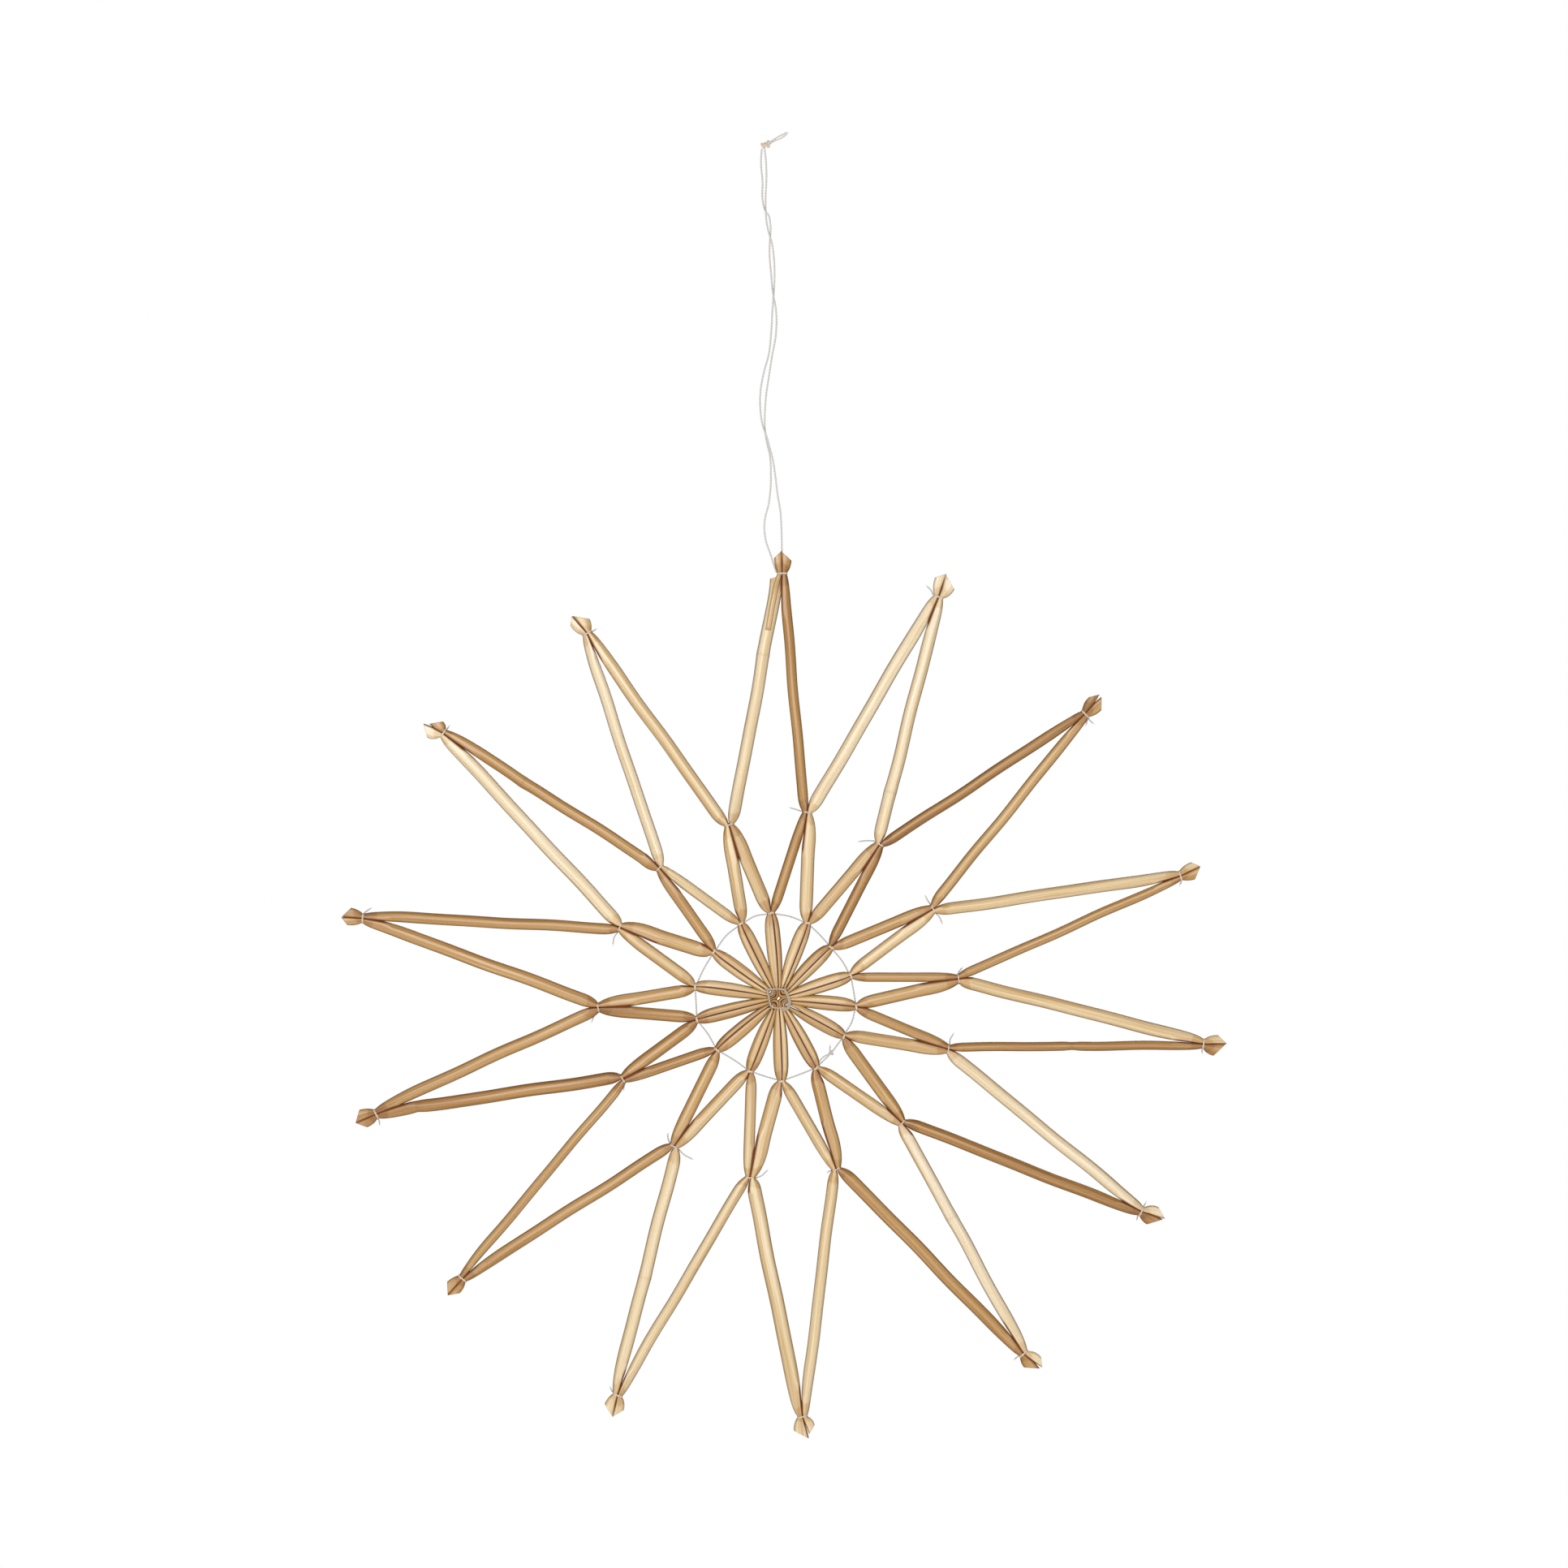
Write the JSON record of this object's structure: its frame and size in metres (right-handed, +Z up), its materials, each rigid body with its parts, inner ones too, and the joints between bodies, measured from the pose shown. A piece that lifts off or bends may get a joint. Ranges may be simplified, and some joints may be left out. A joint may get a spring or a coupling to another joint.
{
  "type": "straw star ornament",
  "caption": "Flat star of bent straws tied with thread into pointed arms round a bound centre, with a knotted thread loop to hang it by.",
  "frame": {"origin": "top of the hanging loop, just under its knot, where a hook or nail holds the ornament", "axes": "+Z up along the hanging loop, front face towards -Y, +X to the right as seen from the front"},
  "size_m": [0.4026, 0.0071, 0.594],
  "materials": {
    "straw_pale": "natural pale straw, satin",
    "straw_tan": "natural tan straw, satin",
    "straw_brown": "natural golden brown straw, satin",
    "thread": "off-white cotton thread, matt"
  },
  "bodies": {
    "root": {"straw_01": "straw_tan", "straw_02": "straw_pale", "straw_03": "straw_brown", "straw_04": "straw_tan", "straw_05": "straw_brown", "straw_06": "straw_pale", "straw_07": "straw_brown", "straw_08": "straw_tan", "straw_09": "straw_brown", "straw_10": "straw_tan", "straw_11": "straw_pale", "straw_12": "straw_brown", "straw_13": "straw_tan", "straw_14": "straw_pale", "splice_straw": "straw_brown", "tip_tie_01": "thread", "tip_tie_02": "thread", "tip_tie_03": "thread", "tip_tie_04": "thread", "tip_tie_05": "thread", "tip_tie_06": "thread", "tip_tie_07": "thread", "tip_tie_08": "thread", "tip_tie_09": "thread", "tip_tie_10": "thread", "tip_tie_11": "thread", "tip_tie_12": "thread", "tip_tie_13": "thread", "tip_tie_14": "thread", "mid_tie_01": "thread", "mid_tie_02": "thread", "mid_tie_03": "thread", "mid_tie_04": "thread", "mid_tie_05": "thread", "mid_tie_06": "thread", "mid_tie_07": "thread", "mid_tie_08": "thread", "mid_tie_09": "thread", "mid_tie_10": "thread", "mid_tie_11": "thread", "mid_tie_12": "thread", "mid_tie_13": "thread", "mid_tie_14": "thread", "inner_ring_thread": "thread", "centre_binding": "thread", "hanging_thread_left": "thread", "hanging_thread_right": "thread", "loop_knot": "thread"}
  },
  "joints": []
}
